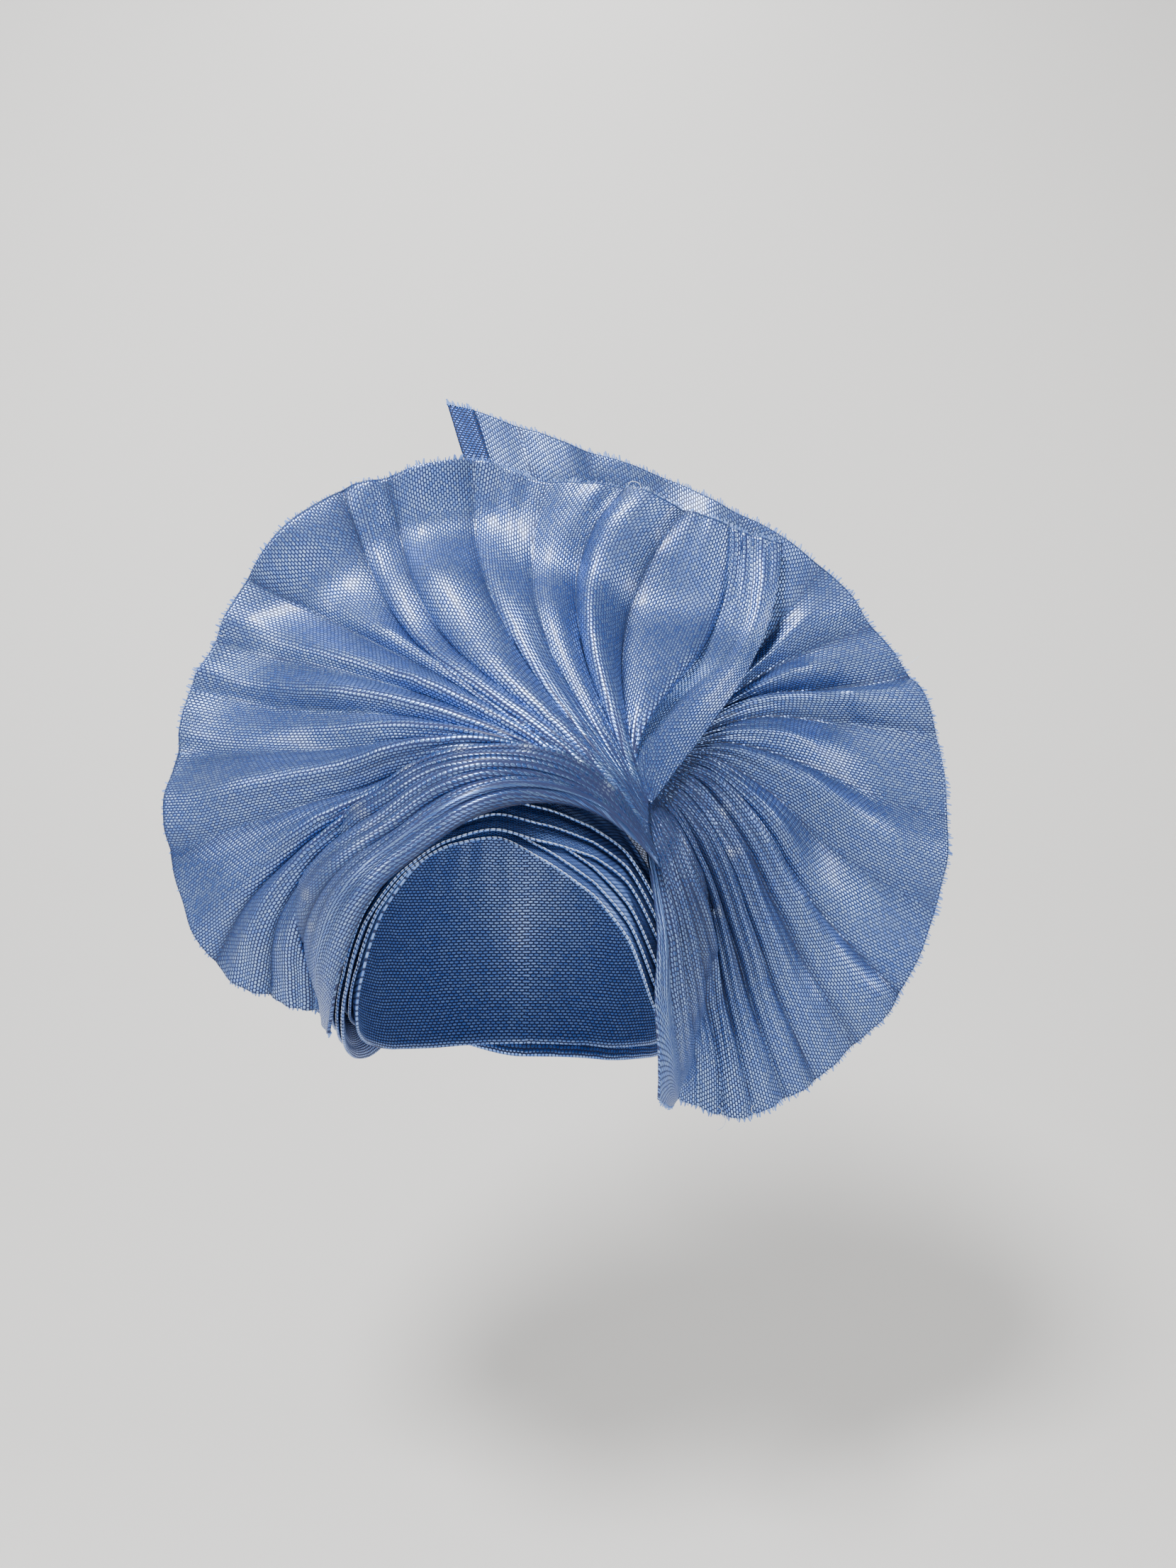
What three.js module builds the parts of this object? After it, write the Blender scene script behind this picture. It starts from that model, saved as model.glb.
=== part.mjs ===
// Tied gele head tie: stiff woven cloth wound round the head in pleats and spread from one
// gather over the brow into two fans. Millimetres, +Z up, the face looks along -Y, and the
// origin is the middle of the head opening at ear height.
import * as THREE from 'three';

// Hollow for the head
const headHalfWidth = 75;
const headHalfDepth = 92;
const headHalfHeight = 100;
const headCentre = { y: 5, z: 20 };
const headEase = 0.5;

// Cloth and the layers that it lies in
const capWall = 1.2;
const wrapWall = 1.0;
const fanWall = 1.3;
const layerGap = 0.6;
const capHem = 5; // the cap stops this far inside the lowest wrap

// The gather over the brow, where both fans start
const gather = { x: 56, z: 97 };
const gatherReach = 30;

// The fans
const fanReach = 230; // gather to the furthest point of a rim
const rimSetBack = 16; // the front fan's rim lies this far behind the origin
const fanLeanBack = 70; // how far the rim lies behind the brow edge of the dish
const rearSetBack = { root: 7, rim: 14 }; // rear fan behind the front one
const foldRelief = 10; // tallest fold
const foldSteepness = 0.5; // tallest fold as a share of its own width
const foldLap = 0.32; // how far a fully lapped crest moves, as a share of the fold's width
const foldRound = 0.8; // below 1 rounds a fold's shoulders
const headBlend = 12; // depth over which a fan leaves the head
const dishRise = 15; // middle of the fans' dish over the head's centre
const dishEase = 9; // from the temples to the oval that the dish leaves
const leafHemWidth = 15;
const leafHemStart = 0.6; // share of the way from the gather to the rim
const hemWall = 1.0;
const hemGap = 0.5;

// Faces: columns a fold, steps from gather to rim, stations round the head
const foldColumns = [0, 0.22, 0.5, 0.78];
const fanSteps = 10;
const headStations = 40;
const wrapSteps = 3;
const capSteps = 11;

const deg = Math.PI / 180;
const lerp = (a, b, t) => a + (b - a) * t;
const clamp = (x, low, high) => Math.min(high, Math.max(low, x));
const ease = (t) => t * t * (3 - 2 * t);

// A table has named columns and one row for each fold; each column becomes a list
function table(names, rows) {
  const columns = {};
  names.split(' ').forEach((name, i) => { columns[name] = rows.map((row) => row[i]); });
  return columns;
}

// A smooth value between the rows of a column, without overshoot; ringed columns join up
function between(column, at, ringed = false) {
  const n = column.length;
  const pick = (i) => (ringed ? column[(i + n) % n] : column[clamp(i, 0, n - 1)]);
  const i = ringed ? Math.floor(at) : clamp(Math.floor(at), 0, n - 2);
  const t = at - i;
  const slope = (k) => {
    const before = pick(k) - pick(k - 1);
    const after = pick(k + 1) - pick(k);
    if (!ringed && k === 0) return after;
    if (!ringed && k === n - 1) return before;
    return before * after <= 0 ? 0 : (2 * before * after) / (before + after);
  };
  const t2 = t * t;
  const t3 = t2 * t;
  return (2 * t3 - 3 * t2 + 1) * pick(i) + (t3 - 2 * t2 + t) * slope(i)
    + (3 * t2 - 2 * t3) * pick(i + 1) + (t3 - t2) * slope(i + 1);
}

// A closed wall of cloth between two skins over a grid of u and v. Its four edges are closed,
// except that a ring joins up along u, and a pole draws its first row together in one point.
function wall(name, colour, us, vs, outer, inner, { ring = false, pole = false } = {}) {
  const points = [];
  const faces = [];
  const skin = (shape) => vs.map((v, j) => us.map((u, i) => {
    if (pole && j === 0 && i > 0) return points.length / 3 - 1;
    points.push(...shape(u, v).toArray());
    return points.length / 3 - 1;
  }));
  const front = skin(outer);
  const back = skin(inner);
  const quad = (a, b, c, d) => {
    if (a !== b && b !== c && c !== a) faces.push(a, b, c);
    if (a !== c && c !== d && d !== a) faces.push(a, c, d);
  };
  const columns = us.length - (ring ? 0 : 1);
  for (let i = 0; i < columns; i += 1) {
    const k = (i + 1) % us.length;
    for (let j = 0; j < vs.length - 1; j += 1) {
      quad(front[j][i], front[j][k], front[j + 1][k], front[j + 1][i]);
      quad(back[j][i], back[j + 1][i], back[j + 1][k], back[j][k]);
    }
    const last = vs.length - 1;
    if (!pole) quad(front[0][i], back[0][i], back[0][k], front[0][k]);
    quad(front[last][i], front[last][k], back[last][k], back[last][i]);
  }
  if (!ring) {
    const end = us.length - 1;
    for (let j = 0; j < vs.length - 1; j += 1) {
      quad(front[j][0], front[j + 1][0], back[j + 1][0], back[j][0]);
      quad(front[j][end], back[j][end], back[j + 1][end], front[j + 1][end]);
    }
  }
  // turn every face the other way if the solid came out inside out
  const corner = (i) => new THREE.Vector3(points[3 * i], points[3 * i + 1], points[3 * i + 2]);
  let volume = 0;
  for (let f = 0; f < faces.length; f += 3) {
    volume += corner(faces[f]).dot(corner(faces[f + 1]).cross(corner(faces[f + 2])));
  }
  if (volume < 0) faces.reverse();
  const geometry = new THREE.BufferGeometry();
  geometry.setAttribute('position', new THREE.Float32BufferAttribute(points, 3));
  geometry.setIndex(faces);
  geometry.computeVertexNormals();
  const cloth = new THREE.MeshStandardMaterial({ color: colour, roughness: 0.45, metalness: 0.1 });
  const mesh = new THREE.Mesh(geometry, cloth);
  mesh.name = name;
  return mesh;
}

const steps = (count, from = 0, to = 1) => (
  Array.from({ length: count + 1 }, (_, i) => lerp(from, to, i / count)));

// A point over the head at an azimuth from the brow and a height, lifted off by a distance
function onHead(azimuth, z, lift) {
  const rise = clamp((z - headCentre.z) / headHalfHeight, -0.999, 0.999);
  const around = Math.sqrt(1 - rise * rise);
  const point = new THREE.Vector3(
    headHalfWidth * around * Math.sin(azimuth),
    -headHalfDepth * around * Math.cos(azimuth),
    headHalfHeight * rise,
  );
  const out = new THREE.Vector3(
    point.x / headHalfWidth ** 2,
    point.y / headHalfDepth ** 2,
    point.z / headHalfHeight ** 2,
  ).normalize();
  return point.addScaledVector(out, lift).add(new THREE.Vector3(0, headCentre.y, headCentre.z));
}

// The band of wraps: its lowest and highest line round the head, heights as shares of
// headHalfHeight over the head's centre
const band = table('azimuth low high', [
  [-180, -0.60, 0.55],
  [-140, -0.58, 0.50],
  [-110, -0.52, 0.28],
  [-88, -0.42, 0.05],
  [-70, -0.28, 0.12],
  [-56, -0.02, 0.32],
  [-47, 0.25, 0.52],
  [-35, 0.45, 0.68],
  [-20, 0.57, 0.78],
  [-4, 0.61, 0.83],
  [14, 0.52, 0.80],
  [30, 0.38, 0.68],
  [41, 0.20, 0.50],
  [50, -0.05, 0.28],
  [60, -0.22, 0.10],
  [80, -0.35, 0.05],
  [110, -0.50, 0.28],
  [140, -0.58, 0.50],
]);

// Where an azimuth falls among the rows of a ringed list of azimuths
function rowAt(azimuths, azimuth) {
  const n = azimuths.length;
  let i = n - 1;
  while (i > 0 && azimuths[i] > azimuth) i -= 1;
  const next = i === n - 1 ? azimuths[0] + 360 : azimuths[i + 1];
  return i + (azimuth - azimuths[i]) / (next - azimuths[i]);
}

function bandHeight(azimuth, share) {
  const row = rowAt(band.azimuth, azimuth);
  const rise = lerp(between(band.low, row, true), between(band.high, row, true), share);
  return headCentre.z + headHalfHeight * rise;
}

// The lower edge of each wrap as a share of the band, from the innermost wrap outwards. The
// last three cross over the first three above the middle of the brow.
const wrapAzimuths = [-180, -80, -45, -4, 45, 75];
const wrapEdges = [
  [0.00, 0.30, 0.20, 0.00, 0.00, 0.00],
  [0.13, 0.40, 0.35, 0.14, 0.13, 0.12],
  [0.28, 0.50, 0.50, 0.30, 0.28, 0.25],
  [0.42, 0.00, 0.00, 0.03, 0.48, 0.40],
  [0.57, 0.12, 0.15, 0.24, 0.60, 0.52],
  [0.72, 0.26, 0.32, 0.44, 0.72, 0.65],
];
const wrapWidth = 0.42; // of the band's height

const wrapLift = (index) => headEase + capWall + layerGap + index * (wrapWall + layerGap);
const bandTop = wrapLift(wrapEdges.length);

function bandWrap(edge, index) {
  const stations = steps(headStations, -180, 180).slice(0, -1);
  const skin = (lift) => (azimuth, v) => {
    const low = between(edge, rowAt(wrapAzimuths, azimuth), true);
    const share = lerp(low, Math.min(1, low + wrapWidth), v);
    return onHead(azimuth * deg, bandHeight(azimuth, share), lift);
  };
  const lift = wrapLift(index);
  return wall(`band_wrap_${index + 1}`, 0x3f62ad, stations, steps(wrapSteps),
    skin(lift + wrapWall), skin(lift), { ring: true });
}

function crownCap() {
  const stations = steps(headStations, -180, 180).slice(0, -1);
  const skin = (lift) => (azimuth, v) => {
    const hem = bandHeight(azimuth, 0) + capHem;
    const fall = Math.acos(clamp((hem - headCentre.z) / headHalfHeight, -1, 1));
    return onHead(azimuth * deg, headCentre.z + headHalfHeight * Math.cos(fall * v), lift);
  };
  return wall('crown_cap', 0x35539a, stations, steps(capSteps),
    skin(headEase + capWall), skin(headEase), { ring: true, pole: true });
}

// Front fan, a row for each crease, from the left ear over the top to the end hem. A crease
// starts at `side` and `rise` from the gather in gatherReach and runs to the rim at angle `rim`
// and `reach` in fanReach. It sets out at angle `leave` and comes in at angle `arrive`, with
// `start` and `end` saying how long it holds them. `mid` and `edge` are the height of the fold
// after it in foldRelief, and `lap` moves that fold's crest towards one of its creases.
const foldNames = 'rim reach leave start arrive end side rise mid edge lap';
const frontFolds = table(foldNames, [
  [217, 0.73, 126, 0.52, 262, 0.45, 0.23, -0.87, 0.5, 0.5, 0.0],
  [213, 0.79, 122, 0.50, 264, 0.48, 0.21, -0.80, 0.6, 0.7, 0.0],
  [208, 0.85, 121, 0.45, 260, 0.50, 0.19, -0.74, 0.7, 0.8, 0.2],
  [201, 0.93, 119, 0.42, 239, 0.42, 0.17, -0.68, 0.8, 0.8, 0.2],
  [186, 0.97, 117, 0.41, 190, 0.36, 0.16, -0.63, 0.5, 0.6, 0.0],
  [174, 0.97, 121, 0.38, 172, 0.38, 0.14, -0.59, 0.3, 0.3, 0.0],
  [166, 0.965, 128, 0.37, 164, 0.38, 0.13, -0.55, 0.6, 0.3, 0.3],
  [159, 0.94, 132, 0.36, 162, 0.38, 0.13, -0.51, 0.6, 0.4, 0.4],
  [150, 0.935, 136, 0.40, 152, 0.40, 0.13, -0.48, 0.9, 0.8, 0.5],
  [133, 0.89, 130, 0.43, 105, 0.52, 0.12, -0.45, 0.6, 0.6, 0.6],
  [127, 0.85, 124, 0.40, 96, 0.52, 0.11, -0.40, 0.6, 0.7, 0.4],
  [115, 0.79, 124, 0.35, 85, 0.42, 0.10, -0.33, 0.5, 0.5, 0.6],
  [105, 0.695, 118, 0.36, 69, 0.43, 0.10, -0.22, 0.5, 0.6, 0.2],
  [91, 0.65, 113, 0.40, 42, 0.40, 0.10, -0.10, 0.8, 0.7, 0.6],
  [80, 0.615, 108, 0.36, 50, 0.40, 0.10, -0.03, 0.9, 0.3, -0.8],
  [71, 0.61, 116, 0.40, 92, 0.60, 0.10, 0.00, 0.0, 0.0, 0.0],
  [66, 0.615, 95, 0.45, 94, 0.62, 0.10, 0.01, 0.7, 0.5, 0.3],
  [60, 0.63, 52, 0.35, 88, 0.40, 0.16, -0.03, 0.0, 0.0, 0.0],
]);

// Rear fan, from the free end of the leaf that stands behind the front fan, over the right
// side and down to the right ear
const rearFolds = table(foldNames, [
  [115, 0.945, 134, 0.40, 106, 0.38, 0.23, 0.80, 0.2, 0.2, 0.0],
  [107, 0.84, 115, 0.37, 104, 0.38, 0.33, 0.87, 0.2, 0.3, 0.0],
  [97, 0.755, 96, 0.37, 103, 0.36, 0.40, 0.93, 0.2, 0.3, 0.0],
  [84, 0.70, 75, 0.37, 94, 0.37, 0.50, 1.00, 0.2, 0.3, 0.0],
  [69, 0.655, 53, 0.38, 80, 0.38, 0.57, 1.05, 0.3, 0.4, 0.0],
  [51, 0.65, 40, 0.39, 52, 0.38, 0.63, 1.03, 0.4, 0.4, 0.2],
  [36, 0.64, 40, 0.38, 18, 0.37, 0.66, 0.97, 0.5, 0.4, 0.3],
  [24, 0.65, 46, 0.40, 14, 0.36, 0.67, 0.90, 0.9, 0.9, 0.6],
  [12, 0.665, 34, 0.35, -8, 0.38, 0.67, 0.85, 0.4, 0.3, 0.0],
  [-3, 0.685, 22, 0.28, -12, 0.46, 0.66, 0.79, 0.6, 0.4, 0.3],
  [-20, 0.69, 10, 0.24, -24, 0.48, 0.62, 0.72, 0.5, 0.4, -0.3],
  [-36, 0.705, -5, 0.20, -42, 0.52, 0.56, 0.65, 0.8, 0.9, 0.5],
  [-48, 0.715, -18, 0.18, -56, 0.50, 0.50, 0.56, 0.7, 0.9, 0.2],
  [-57, 0.72, -35, 0.18, -64, 0.46, 0.34, 0.46, 0.9, 0.9, 0.4],
  [-63, 0.715, -52, 0.22, -70, 0.42, 0.25, 0.36, 0.8, 0.8, 0.2],
  [-69, 0.715, -64, 0.28, -78, 0.38, 0.18, 0.24, 0.8, 0.9, 0.3],
  [-74, 0.695, -73, 0.34, -87, 0.36, 0.13, 0.12, 0.7, 0.8, 0.0],
  [-78, 0.665, -78, 0.37, -88, 0.38, 0.10, -0.06, 0.7, 0.8, 0.2],
  [-82, 0.635, -81, 0.38, -90, 0.38, 0.08, -0.27, 0.6, 0.7, 0.0],
  [-86, 0.56, -84, 0.38, -92, 0.38, 0.08, -0.50, 0.0, 0.0, 0.0],
]);

// The dish that both fans follow: it leaves an oval round the face and leans back to the rims
const dish = {
  z: headCentre.z + dishRise,
  halfWidth: headHalfWidth + dishEase,
  halfHeight: 0.72 * headHalfHeight,
  sideReach: 0.83 * fanReach,
  topReach: 0.89 * fanReach,
  level: 0.37 * headHalfDepth, // the oval follows the brow, further back the higher it is
  upward: 0.48 * headHalfDepth,
  curve: 1.5, // more than 1 leaves the oval steeply and flattens out at the rim
};

function dishDepth(x, z) {
  const angle = Math.atan2(z - dish.z, x);
  const oval = (a, b) => 1 / Math.hypot(Math.cos(angle) / a, Math.sin(angle) / b);
  const face = oval(dish.halfWidth, dish.halfHeight);
  const out = (Math.hypot(x, z - dish.z) - face) / (oval(dish.sideReach, dish.topReach) - face);
  const brow = rimSetBack - fanLeanBack + dish.level - dish.upward * Math.sin(angle);
  const run = out > 0 ? 1 - Math.max(1 - out, 0) ** dish.curve : dish.curve * out;
  return lerp(brow, rimSetBack, run);
}

// Depth of the front of the head, lifted off; beside the head it falls away behind it
function headDepth(x, z, lift) {
  const inside = 1 - (x / (headHalfWidth + lift)) ** 2
    - ((z - headCentre.z) / (headHalfHeight + lift)) ** 2;
  const depth = headHalfDepth + lift;
  return headCentre.y - Math.sign(inside) * depth * Math.sqrt(Math.abs(inside));
}

function nearer(a, b, blend) {
  const t = clamp(0.5 + (0.5 * (b - a)) / blend, 0, 1);
  return lerp(b, a, t) - blend * t * (1 - t);
}

// A fan's smooth sheet: u counts creases, q runs from the gather to the rim
function fanBase(folds, setBack, lift, u, q) {
  const at = (name) => between(folds[name], u);
  const rimAngle = at('rim') * deg;
  const reach = at('reach') * fanReach;
  const start = new THREE.Vector2(gather.x, gather.z);
  const root = new THREE.Vector2(at('side'), at('rise')).multiplyScalar(gatherReach).add(start);
  const rim = new THREE.Vector2(Math.cos(rimAngle), Math.sin(rimAngle)).multiplyScalar(reach).add(start);
  const span = root.distanceTo(rim);
  const leave = at('leave') * deg;
  const arrive = at('arrive') * deg;
  const out = new THREE.Vector2(Math.cos(leave), Math.sin(leave)).multiplyScalar(span * at('start'));
  const back = new THREE.Vector2(Math.cos(arrive), Math.sin(arrive)).multiplyScalar(-span * at('end'));
  const path = new THREE.CubicBezierCurve(root, root.clone().add(out), rim.clone().add(back), rim);
  const { x, y: z } = path.getPoint(q);
  const free = dishDepth(x, z) + lerp(setBack.root, setBack.rim, q);
  return new THREE.Vector3(x, nearer(free, headDepth(x, z, lift(u, q)), headBlend), z);
}

// The way that a fan's smooth sheet faces, found from points close by
const near = 0.02; // in creases, and in shares of the way to the rim
function facing(base, last, u, q) {
  const across = base(Math.min(u + near, last), q).sub(base(Math.max(u - near, 0), q));
  const along = base(u, Math.min(q + near, 1)).sub(base(u, Math.max(q - near, 0)));
  const normal = across.cross(along).normalize();
  return normal.y > 0 ? normal.negate() : normal;
}

// Height of a fold across its width: 0 at its creases, 1 at its crest
function crest(across, lap) {
  const top = 0.5 - foldLap * lap;
  const t = across < top ? across / top : (1 - across) / (1 - top);
  return Math.sin(0.5 * Math.PI * clamp(t, 0, 1)) ** foldRound;
}

function foldHeight(folds, base, u, q) {
  const last = folds.rim.length - 1;
  const fold = clamp(Math.floor(u), 0, last - 1);
  const width = base(fold, q).distanceTo(base(fold + 1, q));
  const mid = ease(Math.min(1, 2 * q)) * folds.mid[fold];
  const share = lerp(mid, folds.edge[fold], ease(clamp(2 * q - 1, 0, 1)));
  const height = Math.min(foldRelief * share, foldSteepness * width);
  return height * crest(u - fold, folds.lap[fold]);
}

// The two sides of a fan's cloth, folds and all
function fanSides(folds, base) {
  const last = folds.rim.length - 1;
  const face = (u, q) => {
    const height = foldHeight(folds, base, u, q);
    return base(u, q).addScaledVector(facing(base, last, u, q), height);
  };
  // the back follows the folds, and near the gather, where they are tight, the smooth sheet
  const backing = (u, q) => {
    const away = facing(face, last, u, q).lerp(facing(base, last, u, q), 1 - ease(clamp(4 * q, 0, 1)));
    return face(u, q).addScaledVector(away.normalize(), -fanWall);
  };
  return { face, backing, last };
}

// The dark turned hem on the free end of the leaf, laid on the leaf's front
function leafHem({ face, last }) {
  const skin = (lift) => (across, q) => {
    const width = face(0, q).distanceTo(face(1, q));
    const u = (across * leafHemWidth) / width;
    return face(u, q).addScaledVector(facing(face, last, u, q), lift);
  };
  return wall('leaf_hem', 0x2f55ab, steps(2), steps(4, leafHemStart, 1),
    skin(hemGap + hemWall), skin(hemGap));
}

const foldStations = (count) => {
  const inside = Array.from({ length: count }, (_, i) => foldColumns.map((share) => i + share));
  return [...inside.flat(), count];
};

const fanSeat = bandTop + fanWall;
// the front fan rises over the rear one along its upper creases and all along the gather
const overRear = { firstCrease: 6, creases: 5, run: 0.15 };
const frontBase = (u, q) => {
  const upper = ease(clamp((u - overRear.firstCrease) / overRear.creases, 0, 1));
  const rooted = 1 - ease(clamp(q / overRear.run, 0, 1));
  const lift = fanSeat + Math.max(upper, rooted) * rearSetBack.root;
  return fanBase(frontFolds, { root: 0, rim: 0 }, () => lift, u, q);
};
const rearBase = (u, q) => fanBase(rearFolds, rearSetBack, () => fanSeat, u, q);

const tie = new THREE.Group();
tie.add(crownCap());
wrapEdges.forEach((edge, index) => tie.add(bandWrap(edge, index)));
[['front_fan', 0x7d9fdc, frontFolds, frontBase], ['rear_fan', 0x5f84cc, rearFolds, rearBase]]
  .forEach(([name, colour, folds, base]) => {
    const { face, backing, last } = fanSides(folds, base);
    tie.add(wall(name, colour, foldStations(last), steps(fanSteps), face, backing));
  });
tie.add(leafHem(fanSides(rearFolds, rearBase)));

export default tie;
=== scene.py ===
# Tied gele head tie of stiff blue basket weave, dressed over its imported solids
import math

import bpy
import numpy as np
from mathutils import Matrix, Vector


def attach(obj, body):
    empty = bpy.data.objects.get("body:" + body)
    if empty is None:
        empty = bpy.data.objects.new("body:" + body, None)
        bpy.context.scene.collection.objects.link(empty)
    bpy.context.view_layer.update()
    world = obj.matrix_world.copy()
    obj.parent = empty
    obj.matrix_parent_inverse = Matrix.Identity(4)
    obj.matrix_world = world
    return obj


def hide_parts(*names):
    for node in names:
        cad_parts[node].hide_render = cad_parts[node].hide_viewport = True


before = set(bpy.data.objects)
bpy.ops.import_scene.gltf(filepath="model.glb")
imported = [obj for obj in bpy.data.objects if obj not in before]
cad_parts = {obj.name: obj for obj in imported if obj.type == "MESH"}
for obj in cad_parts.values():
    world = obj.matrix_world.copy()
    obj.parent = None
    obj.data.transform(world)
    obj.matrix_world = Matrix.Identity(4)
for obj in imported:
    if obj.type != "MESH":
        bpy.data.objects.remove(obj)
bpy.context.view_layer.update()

mm = 0.001

# the head that the tie is wound on, in mm
headShape = {
    "halfWidth": 75, "halfDepth": 92, "halfHeight": 100,
    "centreY": 5, "centreZ": 20, "ease": 0.5,
}

# walls of cloth and the space between them, in mm
clothLayers = {"cap": 1.2, "wrap": 1.0, "fan": 1.3, "gap": 0.6, "hem": 1.0, "hemGap": 0.5, "capHem": 5}

# both fans: lengths in mm, shares of the head's and the folds' own sizes
fanShape = {
    "gatherX": 56, "gatherZ": 97, "gatherReach": 30, "reach": 230,
    "rimSetBack": 16, "leanBack": 70, "rearRoot": 7, "rearRim": 14,
    "relief": 10, "steepness": 0.5, "headBlend": 12, "templeBlend": 3.5,
    "sideReach": 190.9, "topReach": 204.7,
    "dishRise": 15, "dishEase": 9, "dishLevel": 0.72, "dishCurve": 1.5, "browBack": 0.37, "browTurn": 0.48,
    "foldLap": 0.32, "foldRound": 0.8, "softRound": 1.2,
    "leafHem": 15, "leafHemStart": 0.6,
}

# how finely the cloth is meshed
meshDetail = {"foldColumns": 16, "fanRows": 150, "wrapStations": 360, "wrapRows": 20, "capRows": 60}


def table(names, rows):  # named columns, one row for each fold
    return dict(zip(names.split(), np.array(rows, float).T))


def between(column, at, ringed=False):  # a smooth value between the rows of a column
    n = len(column)
    at = np.asarray(at, float)
    i = np.floor(at).astype(int)
    if not ringed:
        i = np.clip(i, 0, n - 2)
    t = at - i

    def pick(k):
        return column[k % n] if ringed else column[np.clip(k, 0, n - 1)]

    def slope(k):
        before, after = pick(k) - pick(k - 1), pick(k + 1) - pick(k)
        if not ringed:
            before = np.where(k <= 0, after, before)
            after = np.where(k >= n - 1, before, after)
        both = np.where(before + after == 0, 1, before + after)
        return np.where(before * after <= 0, 0, 2 * before * after / both)

    return ((2 * t**3 - 3 * t**2 + 1) * pick(i) + (t**3 - 2 * t**2 + t) * slope(i)
            + (3 * t**2 - 2 * t**3) * pick(i + 1) + (t**3 - t**2) * slope(i + 1))


def ease(t):
    t = np.clip(t, 0, 1)
    return t * t * (3 - 2 * t)


# creases of the fans, as in the solids: where each reaches the rim, how it leaves the gather
# and comes in, where it starts, and the height and lean of the fold after it
foldNames = "rim reach leave start arrive end side rise mid edge lap"
frontFolds = table(foldNames, [
    [217, 0.73, 126, 0.52, 262, 0.45, 0.23, -0.87, 0.5, 0.5, 0.0],
    [213, 0.79, 122, 0.50, 264, 0.48, 0.21, -0.80, 0.6, 0.7, 0.0],
    [208, 0.85, 121, 0.45, 260, 0.50, 0.19, -0.74, 0.7, 0.8, 0.2],
    [201, 0.93, 119, 0.42, 239, 0.42, 0.17, -0.68, 0.8, 0.8, 0.2],
    [186, 0.97, 117, 0.41, 190, 0.36, 0.16, -0.63, 0.5, 0.6, 0.0],
    [174, 0.97, 121, 0.38, 172, 0.38, 0.14, -0.59, 0.3, 0.3, 0.0],
    [166, 0.965, 128, 0.37, 164, 0.38, 0.13, -0.55, 0.6, 0.3, 0.3],
    [159, 0.94, 132, 0.36, 162, 0.38, 0.13, -0.51, 0.6, 0.4, 0.4],
    [150, 0.935, 136, 0.40, 152, 0.40, 0.13, -0.48, 0.9, 0.8, 0.5],
    [133, 0.89, 130, 0.43, 105, 0.52, 0.12, -0.45, 0.6, 0.6, 0.6],
    [127, 0.85, 124, 0.40, 96, 0.52, 0.11, -0.40, 0.6, 0.7, 0.4],
    [115, 0.79, 124, 0.35, 85, 0.42, 0.10, -0.33, 0.5, 0.5, 0.6],
    [105, 0.695, 118, 0.36, 69, 0.43, 0.10, -0.22, 0.5, 0.6, 0.2],
    [91, 0.65, 113, 0.40, 42, 0.40, 0.10, -0.10, 0.8, 0.7, 0.6],
    [80, 0.615, 108, 0.36, 50, 0.40, 0.10, -0.03, 0.9, 0.3, -0.8],
    [71, 0.61, 116, 0.40, 92, 0.60, 0.10, 0.00, 0.0, 0.0, 0.0],
    [66, 0.615, 95, 0.45, 94, 0.62, 0.10, 0.01, 0.7, 0.5, 0.3],
    [60, 0.63, 52, 0.35, 88, 0.40, 0.16, -0.03, 0.0, 0.0, 0.0],
])
rearFolds = table(foldNames, [
    [115, 0.945, 134, 0.40, 106, 0.38, 0.23, 0.80, 0.2, 0.2, 0.0],
    [107, 0.84, 115, 0.37, 104, 0.38, 0.33, 0.87, 0.2, 0.3, 0.0],
    [97, 0.755, 96, 0.37, 103, 0.36, 0.40, 0.93, 0.2, 0.3, 0.0],
    [84, 0.70, 75, 0.37, 94, 0.37, 0.50, 1.00, 0.2, 0.3, 0.0],
    [69, 0.655, 53, 0.38, 80, 0.38, 0.57, 1.05, 0.3, 0.4, 0.0],
    [51, 0.65, 40, 0.39, 52, 0.38, 0.63, 1.03, 0.4, 0.4, 0.2],
    [36, 0.64, 40, 0.38, 18, 0.37, 0.66, 0.97, 0.5, 0.4, 0.3],
    [24, 0.65, 46, 0.40, 14, 0.36, 0.67, 0.90, 0.9, 0.9, 0.6],
    [12, 0.665, 34, 0.35, -8, 0.38, 0.67, 0.85, 0.4, 0.3, 0.0],
    [-3, 0.685, 22, 0.28, -12, 0.46, 0.66, 0.79, 0.6, 0.4, 0.3],
    [-20, 0.69, 10, 0.24, -24, 0.48, 0.62, 0.72, 0.5, 0.4, -0.3],
    [-36, 0.705, -5, 0.20, -42, 0.52, 0.56, 0.65, 0.8, 0.9, 0.5],
    [-48, 0.715, -18, 0.18, -56, 0.50, 0.50, 0.56, 0.7, 0.9, 0.2],
    [-57, 0.72, -35, 0.18, -64, 0.46, 0.34, 0.46, 0.9, 0.9, 0.4],
    [-63, 0.715, -52, 0.22, -70, 0.42, 0.25, 0.36, 0.8, 0.8, 0.2],
    [-69, 0.715, -64, 0.28, -78, 0.38, 0.18, 0.24, 0.8, 0.9, 0.3],
    [-74, 0.695, -73, 0.34, -87, 0.36, 0.13, 0.12, 0.7, 0.8, 0.0],
    [-78, 0.665, -78, 0.37, -88, 0.38, 0.10, -0.06, 0.7, 0.8, 0.2],
    [-82, 0.635, -81, 0.38, -90, 0.38, 0.08, -0.27, 0.6, 0.7, 0.0],
    [-86, 0.56, -84, 0.38, -92, 0.38, 0.08, -0.50, 0.0, 0.0, 0.0],
])

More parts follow.
